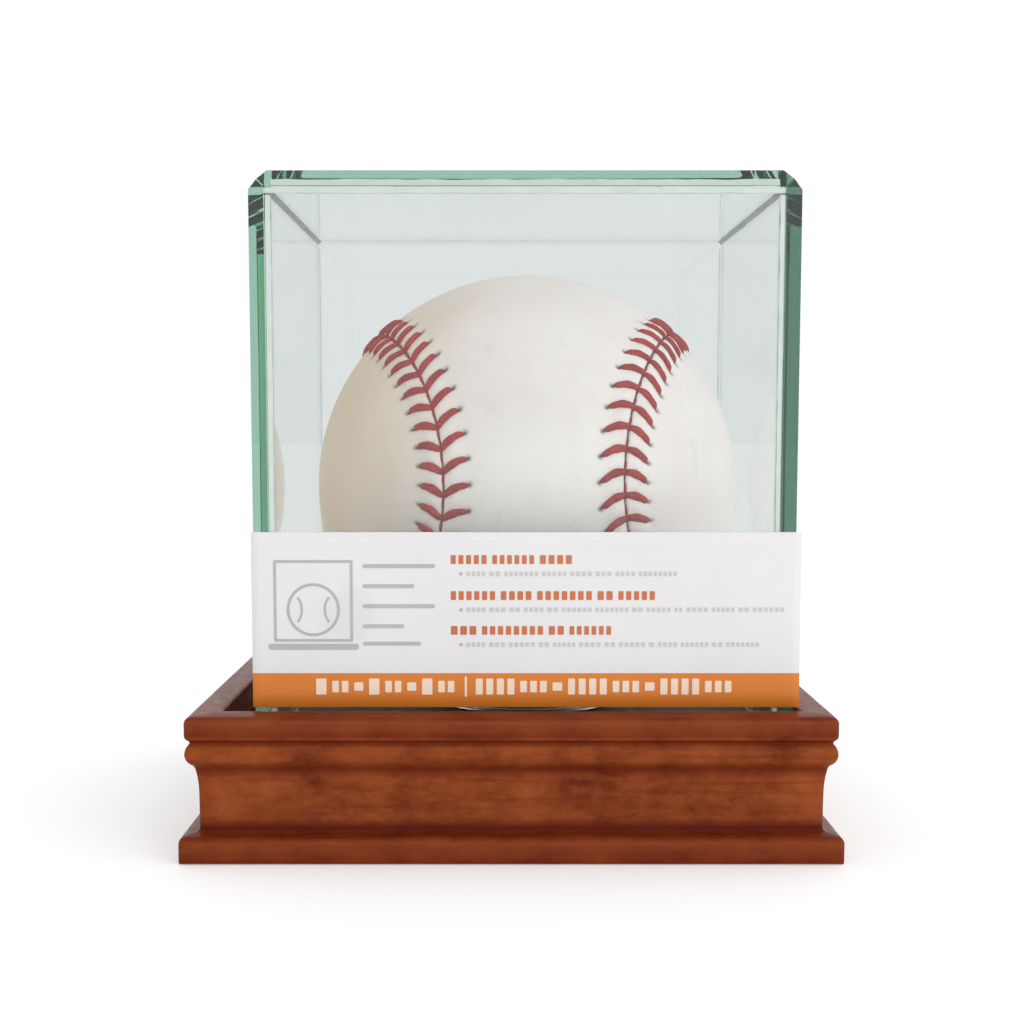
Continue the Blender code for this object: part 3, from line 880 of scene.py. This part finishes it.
def make_print(inks):
    """Generic print: a ball in a case, three headings over a line each, and the stripe's marks."""
    heading, body, emblem, pale = range(4)
    bm = bmesh.new()

    def word_row(x, z, words, height, space, ink, letter=None):
        """Words as bars, in mm, broken into letter-sized blocks where letter gives their size."""
        for width in words:
            count = max(round(width / letter), 1) if letter else 1
            gap = 0.36 * letter if letter else 0.0
            block = (width - (count - 1) * gap) / count
            for k in range(count):
                sizes = (x + k * (block + gap), z, block, height, 0.14)
                printed_shape(bm, bar_outline(*(size * MM for size in sizes)), ink)
            x += width + space

    # height, widths of the heading's words, widths of the words under it
    upper = (2.9, 1.7, 5.2, 3.7, 3.3, 2.4, 3.0, 5.8)
    middle = (2.9, 2.5, 1.6, 3.0, 1.6, 4.6, 5.0, 1.6, 3.7, 1.2, 3.3, 3.5, 1.6, 4.8)
    lower = (2.9, 2.4, 4.0, 1.6, 3.4, 3.3, 1.6, 4.0, 0.8, 2.9, 4.2, 1.6, 5.0)
    for z, heads, words in (
        (45.9, (5.5, 6.4, 4.9), upper),
        (40.35, (6.8, 4.7, 8.4, 2.3, 5.6), middle),
        (34.95, (3.9, 9.4, 2.3, 6.4), lower),
    ):
        word_row(-9.3, z, heads, 1.35, 0.9, heading, 1.15)
        word_row(-8.0, z - 2.2, (0.5,), 0.5, 0, emblem)
        word_row(-6.9, z - 2.2, words, 0.72, 0.62, body, 0.75)
    figure, unit, cross = 2.5, 1.8, 1.3
    for x, sizes in ((-30.2, (1.6, 2.5, 1.4)), (-5.5, (6.0, 4.1, 1.5))):
        for group in range(3):
            for width, height in zip(sizes, (figure, unit, cross)):
                if (group, height) != (2, cross):
                    letter = width / round(width / 1.4)
                    word_row(x, 26.2, (width,), height, 0, pale, letter)
                x += width + 0.9
    word_row(-7.2, 26.2, (0.35,), 3.2, 0, pale)

    # the emblem: a ball inside the outline of a case, and two plain bars beside it
    left, foot, size, line = -36.6 * MM, 33.4 * MM, 12.2 * MM, 0.42 * MM
    head = foot + size
    for x, z, width, height in (
        (left, head, size, line),
        (left, foot, size, line),
        (left - 0.9 * MM, foot - 1.0 * MM, size + 1.8 * MM, 0.95 * MM),
    ):
        printed_shape(bm, bar_outline(x, z, width, height), emblem)
    for x in (left, left + size - line):
        side = [(x, foot), (x + line, foot), (x + line, head), (x, head)]
        printed_shape(bm, side, emblem)
    middle = (left + size / 2, foot + 4.75 * MM)
    ring_marks(bm, middle, 4.1 * MM, line, emblem)
    for shift, start, end in ((-4.9 * MM, -38, 38), (4.9 * MM, 142, 218)):
        ring_marks(bm, (middle[0] + shift, middle[1]), 3.3 * MM, 0.34 * MM, emblem, 18, start, end)
    for z, width in ((44.9, 11.2), (41.8, 8.0), (38.7, 11.2), (35.6, 6.4), (32.9, 9.0)):
        printed_shape(bm, bar_outline(-22.9 * MM, z * MM, width * MM, 0.6 * MM), emblem)
    finished("label_print", bm, inks, "cover", (), 60)


# ---- ball

BALL_JOINT = next(j for j in frame["record"]["behaviour"]["joints"] if j["name"] == "ball_turn")
BALL_AT = Vector(BALL_JOINT["pos_m"])
BALL_RADIUS = max((v.co - BALL_AT).length for v in frame["nodes"]["ball_panel_a"].data.vertices)
BALL_TURN = Euler((math.radians(-93.5), math.radians(44.5), math.radians(-1.3))).to_matrix()
SEAM_SHARE = 0.3026
STITCHES = 108
PER_STITCH = 14
SAMPLES = STITCHES * PER_STITCH
STITCH_PHASE = 0.5
ARM_REACH = 4.15 * MM
ARM_LEAN = 1.75 * MM
ARM_BOW = 0.45 * MM
LOOP_BACK = 2.3 * MM
LOOP_LENGTH = 2.5 * MM
# how far off the seam, in mm, each row of a panel's band lies
BAND = [0.10, 0.25, 0.42, 0.62, 0.85, 1.1, 1.4, 1.75, 2.1, 2.45]
BAND += [2.8, 3.15, 3.5, 3.8, 4.05, 4.3, 4.6, 5.0, 5.6, 6.4]


def seam_point(t):
    """The seam on a unit sphere: a point on a large circle, which a small one swings."""
    small = SEAM_SHARE
    large = 1 - small
    return Vector(
        (
            large * math.cos(t) + small * math.cos(3 * t),
            large * math.sin(t) - small * math.sin(3 * t),
            2 * math.sqrt(large * small) * math.sin(2 * t),
        )
    )


def even_seam():
    """Evenly spaced (point, direction along the seam) from one end of a panel, and the spacing."""
    fine = 12000
    start = -math.pi / 4
    points = [seam_point(start + 2 * math.pi * i / fine) for i in range(fine + 1)]
    lengths = [0.0]
    for a, b in zip(points, points[1:]):
        lengths.append(lengths[-1] + (b - a).length)
    total = lengths[-1]
    seam, k = [], 0
    for i in range(SAMPLES):
        target = total * i / SAMPLES
        while lengths[k + 1] < target:
            k += 1
        share = (target - lengths[k]) / (lengths[k + 1] - lengths[k])
        at = points[k].lerp(points[k + 1], share).normalized()
        along = (points[k + 1] - points[k]).normalized()
        along = (along - at * along.dot(at)).normalized()
        seam.append((at, along))
    return seam, total * BALL_RADIUS / SAMPLES


SEAM, SEAM_STEP = even_seam()
PITCH = SEAM_STEP * PER_STITCH


def arm_shift(d, upward):
    """How far along the seam a stitch has moved at distance d from it."""
    share = min(d / ARM_REACH, 1.0)
    return ARM_LEAN * share + ARM_BOW * upward * math.sin(math.pi * share)


def off_seam(index, d, side):
    """The unit vector d metres off the seam, to the panel with +Z for side 1, or the other."""
    whole = math.floor(index)
    share = index - whole
    at_a, along_a = SEAM[whole % SAMPLES]
    at_b, along_b = SEAM[(whole + 1) % SAMPLES]
    at = at_a.lerp(at_b, share).normalized()
    along = along_a.lerp(along_b, share).normalized()
    angle = d / BALL_RADIUS
    return at * math.cos(angle) + at.cross(along) * math.sin(angle) * side


def upward(index):
    """The vertical share of the seam's direction, with the ball at rest."""
    return (BALL_TURN @ SEAM[round(index) % SAMPLES][1]).z


def relief(index, d):
    """(height, painted seam shade, hole) of the leather at a place off the seam."""
    shift = arm_shift(d, upward(index))
    phase = (index - STITCH_PHASE * PER_STITCH) * SEAM_STEP - shift
    phase = (phase + PITCH / 2) % PITCH - PITCH / 2
    under_arm = hump(phase, 0.62 * MM)
    lobe = math.cos(math.pi * phase / PITCH) ** 2
    height = 0.42 * MM * hump(d - 1.75 * MM, 1.45 * MM) * (1 - 0.65 * lobe)
    height -= 0.50 * MM * hump(d, 0.22 * MM)
    in_reach = smoothstep(0.1 * MM, 0.7 * MM, d) * smoothstep(5.2 * MM, 4.0 * MM, d)
    height -= 0.11 * MM * under_arm * in_reach
    hole = hump(math.hypot(phase, (d - ARM_REACH - 0.12 * MM) * 0.75), 0.34 * MM)
    height -= 0.45 * MM * hole
    # painted shade, strongest in the seam's crease, weaker beside the arms
    painted_seam_shade = 0.22 * hump(d, 0.32 * MM) + 0.05 * under_arm * in_reach
    return height, painted_seam_shade, min(hole * 1.15, 1.0)


def make_panel(name, node, side, leather):
    """One figure-eight panel: a band that follows its stitched edge, filled by rows across it."""
    bm = bmesh.new()
    painted_seam_shade = bm.verts.layers.float.new("painted_seam_shade")
    hole = bm.verts.layers.float.new("hole")
    patina_and_shade = bm.verts.layers.float.new("patina_and_shade")

    def add(direction, height=0.0, seam_shade_share=0.0, pierced=0.0):
        turned = BALL_TURN @ direction
        uneven = wander(turned, 0.5, 0.07 * MM)
        vert = bm.verts.new(BALL_AT + turned * (BALL_RADIUS + height + uneven))
        # painted shade along the seam
        vert[painted_seam_shade] = seam_shade_share
        vert[hole] = pierced
        # the left side at rest turns tan: partly patina, partly painted shade
        patina_and_shade_reach = turned.dot(Vector((-0.95, 0.20, 0.10))) + 0.12 * noise.noise(turned * 3)
        vert[patina_and_shade] = smoothstep(-0.15, 1.15, patina_and_shade_reach)
        return vert

    band = []
    for d in (distance * MM for distance in BAND):
        band.append([add(off_seam(i, d, side), *relief(i, d)) for i in range(SAMPLES)])
    grid_faces(bm, band, closed_columns=True)

    # rows run from each point of the band's inner edge to its mirror image
    edge = band[-1]
    columns = 22
    first = 0 if side > 0 else SAMPLES // 4
    rows = []
    for i in range(SAMPLES // 2 + 1):
        a, b = edge[(first + i) % SAMPLES], edge[(first - i) % SAMPLES]
        if a is b:
            rows.append([a] * (columns + 1))
            continue
        start, end = (BALL_TURN.inverted() @ (v.co - BALL_AT).normalized() for v in (a, b))
        middle = [add(start.slerp(end, c / columns)) for c in range(1, columns)]
        rows.append([a, *middle, b])
    for above, below in zip(rows, rows[1:]):
        for c in range(columns):
            corners = dict.fromkeys((above[c], above[c + 1], below[c + 1], below[c]))
            if len(corners) > 2:
                bm.faces.new(tuple(corners))
    piece = finished(name, bm, [leather], "ball", [node], 60)
    # the faces have to point outwards before the leather gets its thickness
    face = piece.data.polygons[0]
    if face.normal.dot(face.center - BALL_AT) < 0:
        piece.data.flip_normals()
    thick = piece.modifiers.new("thick", "SOLIDIFY")
    thick.thickness = 0.9 * MM
    thick.offset = -1
    apply_modifiers(piece)


def strand(bm, layers, path, start):
    """A closed length of flattened two-ply thread along a path of (point, normal, width, painted
    shade and tone).
    """
    ply, end_shade_and_tone = layers
    rings, around = len(path) - 1, 12
    rows = []
    for k, (at, normal, width, end_shaded_and_toned) in enumerate(path):
        ahead = path[min(k + 1, rings)][0] - path[max(k - 1, 0)][0]
        across = ahead.cross(normal).normalized()
        up = across.cross(ahead).normalized()
        row = []
        for j in range(around):
            angle = 2 * math.pi * j / around
            lobes = 1 + 0.07 * math.cos(2 * (angle - 2.2 * math.pi * k / rings))
            offset = across * math.cos(angle) * width * lobes
            offset += up * math.sin(angle) * width * 0.72 * lobes
            vert = bm.verts.new(BALL_AT + BALL_TURN @ (at + offset))
            vert[ply] = Vector((k / rings * 2.6 + j / around, *start))
            vert[end_shade_and_tone] = end_shaded_and_toned
            row.append(vert)
        rows.append(row)
    tube(bm, rows)


def make_stitches(thread):
    """Both arms of every stitch, from the seam to their needle holes, and its loop."""
    bm = bmesh.new()
    layers = bm.verts.layers.float_vector.new("ply"), bm.verts.layers.float.new("end_shade_and_tone")
    rings = 18
    for stitch in range(STITCHES):
        base = (stitch + STITCH_PHASE) * PER_STITCH
        for side in (1, -1):
            path = []
            tone = noise.noise(Vector((stitch * 1.7, side * 3.1, 0.5)))
            for k in range(rings + 1):
                q = k / rings
                d = (-0.25 + (ARM_REACH / MM + 0.30) * q) * MM
                index = base + arm_shift(max(d, 0.0), upward(base)) / SEAM_STEP
                direction = off_seam(index, d, side)
                height = relief(index, max(d, 0.3 * MM))[0]
                cover = smoothstep(-0.02, 0.20, q) * smoothstep(1.02, 0.84, q)
                height = max(height, -0.25 * MM) + (-0.75 + 1.0 * cover) * MM
                swell = math.sin(math.pi * min(q * 0.93 + 0.07, 1.0)) ** 0.6
                width = (0.28 + 0.36 * swell) * MM
                # painted shade where the arm sinks into its hole and the seam, plus a random tone
                # per stitch
                ends = smoothstep(0.82, 1.0, q) + 0.25 * smoothstep(0.18, 0.0, q)
                end_shaded_and_toned = min(0.75 * ends + max(tone, 0) * 0.2, 1.0)
                path.append((direction * (BALL_RADIUS + height), direction, width, end_shaded_and_toned))
            strand(bm, layers, path, (stitch * 0.37, side * 0.5))
        # the loop lies in the seam, just behind the place where the two arms leave it
        path = []
        for q in (k / 8 for k in range(9)):
            index = base - (LOOP_BACK - LOOP_LENGTH * q) / SEAM_STEP
            direction = off_seam(index, 0.0, 1)
            rise = math.sin(math.pi * q) ** 0.7
            at = direction * (BALL_RADIUS + (-0.55 + 0.50 * rise) * MM)
            # the loop, down in the seam, is a little darker as painted shade
            path.append((at, direction, (0.10 + 0.14 * rise) * MM, 0.15))
        strand(bm, layers, path, (stitch * 0.37, 0.0))
    finished("stitching", bm, [thread], "ball", ["seam_thread"], 70)


# ---- stage


def make_stage():
    """A wide pale floor in soft light from all round, with a little more from the front right."""
    look = Look("floor", 0.6, Specular_IOR_Level=0.2, Emission_Strength=0.27)
    look.set("Emission Color", (1.0, 1.0, 1.0, 1.0))
    look.paint(look.ramp(look.noise(9, 3), (0.3, 0.74), (0.7, 0.76)))
    bm = bmesh.new()
    bmesh.ops.create_circle(bm, cap_ends=True, segments=96, radius=6.0)
    floor = placed("floor", bm)
    floor.data.materials.append(look.material)
    floor.location.z = CAD_BOUNDS[0][2] - 0.1 * MM

    world = bpy.context.scene.world = bpy.data.worlds.new("studio")
    world.use_nodes = True
    nodes = Nodes(world.node_tree)
    direction = nodes.node("ShaderNodeTexCoord").outputs["Generated"]

    def toward(axis, *span_and_strengths):
        """A smooth change with how far a direction points along an axis."""
        along = nodes.measure("DOT_PRODUCT", direction, Vector(axis).normalized())
        return nodes.range(along, *span_and_strengths, "SMOOTHSTEP")

    front = toward((0, 1, 0), -0.6, 0.3, 0.69, 1.03)
    window = toward((0.62, -0.60, 0.45), 0.45, 1.0, 0.0, 0.66)
    # a bright rim low down all round, so that the floor has no edge against the sky
    rim = toward((0, 0, 1), 0.08, 0.20, 1.03, 0.0)
    strength = nodes.math("MAXIMUM", nodes.math("ADD", front, window), rim)
    background = world.node_tree.nodes["Background"].inputs
    nodes.fill(background["Color"], (1.0, 1.0, 1.0, 1.0))
    nodes.fill(background["Strength"], strength)


def make_key_light():
    """A soft disk of slightly warm light, high at the front right."""
    light = placed("key", bpy.data.lights.new("key", "AREA"))
    light.data.shape = "DISK"
    light.data.size = 0.6
    light.data.energy = 2.4
    light.data.color = (1.0, 0.985, 0.965)
    light.location = (0.60, -0.92, 0.40)
    aim = Vector((0, 0, 50 * MM)) - light.location
    light.rotation_euler = aim.to_track_quat("-Z", "Y").to_euler()


def make_camera():
    """The camera that was fitted to the photograph, pitched down by 6.5 degrees."""
    camera = placed("camera", bpy.data.cameras.new("camera"))
    camera.data.sensor_width = 36.0
    camera.data.lens = 65.2
    camera.data.shift_x = 0.0124
    camera.data.shift_y = 0.121
    camera.data.clip_start = 0.01
    camera.location = (-0.00184, -0.3271, 0.0665)
    camera.rotation_euler = (math.radians(90 - 6.5), 0, 0)
    bpy.context.scene.camera = camera


def main():
    make_camera()
    make_mouldings(wood_look())
    felt = felt_look()
    make_felt("floor_felt", "floor_liner", felt)
    make_felt("foot_felt", "underside_felt", felt)
    make_ring(plastic_look())
    make_glass(glass_look())
    make_glue(glue_look())
    make_beads(
        adhesive_look("clear_adhesive", (0.72, 0.76, 0.74), (0.86, 0.90, 0.88), 0.85),
        # dark grey adhesive: painted shade along the two top joints that run away from the front
        adhesive_look("painted_shade_adhesive", (0.20, 0.215, 0.205), (0.38, 0.40, 0.385), 0.45),
    )

    card = white_card_look((-24.9 * MM, LABEL_LOW.y, 37.2 * MM))
    stripe = card_look("orange_ink", (0.68, 0.210, 0.030), (0.62, 0.180, 0.024), 0.40).material
    make_label(card, stripe)
    inks = (
        ("heading_ink", (0.55, 0.17, 0.07), (0.48, 0.13, 0.05)),
        ("text_ink", (0.54, 0.54, 0.55), (0.49, 0.49, 0.50)),
        ("emblem_ink", (0.44, 0.44, 0.45), (0.39, 0.39, 0.40)),
        ("pale_ink", (0.86, 0.70, 0.56), (0.80, 0.62, 0.48)),
    )
    make_print([card_look(*ink, 0.42).material for ink in inks])

    leather = leather_look()
    make_panel("leather_panel_a", "ball_panel_a", 1, leather)
    make_panel("leather_panel_b", "ball_panel_b", -1, leather)
    make_stitches(thread_look())

    board, steel = board_look(), steel_look()
    kept = {"base_board": board, "bottom_panel": board, "ball_core": yarn_look()}
    kept |= {node: steel for node in frame["nodes"] if node.startswith("v_nail")}
    for node, mat in kept.items():
        frame["nodes"][node].data.materials.clear()
        frame["nodes"][node].data.materials.append(mat)

    make_stage()
    make_key_light()
    bpy.context.scene.view_settings.view_transform = "Standard"
    cycles = bpy.context.scene.cycles
    cycles.diffuse_bounces = 4
    # light goes to and fro in the panes before it leaves them
    cycles.max_bounces = cycles.glossy_bounces = GLASS_BOUNCES
    cycles.transmission_bounces = cycles.transparent_max_bounces = GLASS_BOUNCES


main()
